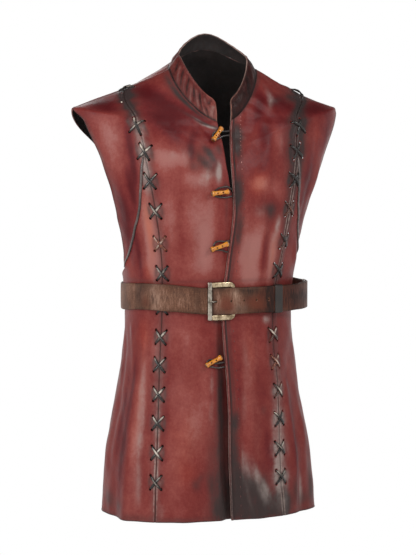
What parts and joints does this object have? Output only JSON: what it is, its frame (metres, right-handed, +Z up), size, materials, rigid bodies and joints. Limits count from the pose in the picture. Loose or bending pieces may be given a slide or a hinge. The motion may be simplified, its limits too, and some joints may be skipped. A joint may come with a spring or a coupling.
{
  "type": "laced leather vest with belt",
  "caption": "Hollow worn leather jerkin with stand collar, laced panels, toggled front and its own buckled belt.",
  "frame": {"origin": "midway between the two points where the shoulders meet the neck, where the wearer's shoulders hold the vest", "axes": "+Z up along the garment, the front faces -Y, +X is the wearer's left"},
  "size_m": [0.5218, 0.3151, 0.9161],
  "materials": {
    "vest_leather": "semi-gloss distressed burgundy leather, rubbed rose-brown and stained dark along the seams",
    "collar_leather": "semi-gloss burgundy leather, wrinkled, with a pale rubbed rim",
    "piping_leather": "dark worn leather cord",
    "thong": "glossy dark leather thong",
    "loop_cord": "dark round leather cord",
    "belt_leather": "worn greyish-brown belt leather with darker edges",
    "keeper_leather": "dark smooth leather",
    "brass": "pale tarnished brass",
    "steel": "dull grey steel",
    "horn": "polished amber horn"
  },
  "bodies": {
    "root": {"front_right": "vest_leather", "skirt_front_right": "vest_leather", "front_left": "vest_leather", "skirt_front_left": "vest_leather", "side_right": "vest_leather", "skirt_side_right": "vest_leather", "side_left": "vest_leather", "skirt_side_left": "vest_leather", "wing_right": "vest_leather", "wing_left": "vest_leather", "back": "vest_leather", "skirt_back": "vest_leather", "collar": "collar_leather", "piping_right": "piping_leather", "piping_left": "piping_leather", "lace_right_1": "thong", "lace_right_2": "thong", "lace_right_3": "thong", "lace_right_4": "thong", "lace_right_5": "thong", "lace_right_6": "thong", "lace_right_7": "thong", "lace_right_8": "thong", "lace_right_9": "thong", "lace_right_10": "thong", "lace_right_11": "thong", "lace_right_12": "thong", "lace_right_13": "thong", "lace_right_14": "thong", "lace_left_1": "thong", "lace_left_2": "thong", "lace_left_3": "thong", "lace_left_4": "thong", "lace_left_5": "thong", "lace_left_6": "thong", "lace_left_7": "thong", "lace_left_8": "thong", "lace_left_9": "thong", "lace_left_10": "thong", "lace_left_11": "thong", "lace_left_12": "thong", "lace_left_13": "thong", "lace_left_14": "thong", "toggle_1": "horn", "toggle_tie_1": "thong", "toggle_loop_1": "loop_cord", "toggle_2": "horn", "toggle_tie_2": "thong", "toggle_loop_2": "loop_cord", "toggle_3": "horn", "toggle_tie_3": "thong", "toggle_loop_3": "loop_cord", "toggle_4": "horn", "toggle_tie_4": "thong", "toggle_loop_4": "loop_cord", "belt": "belt_leather", "belt_keeper": "keeper_leather", "buckle_frame": "brass", "buckle_bar": "steel", "buckle_prong": "steel"}
  },
  "joints": []
}
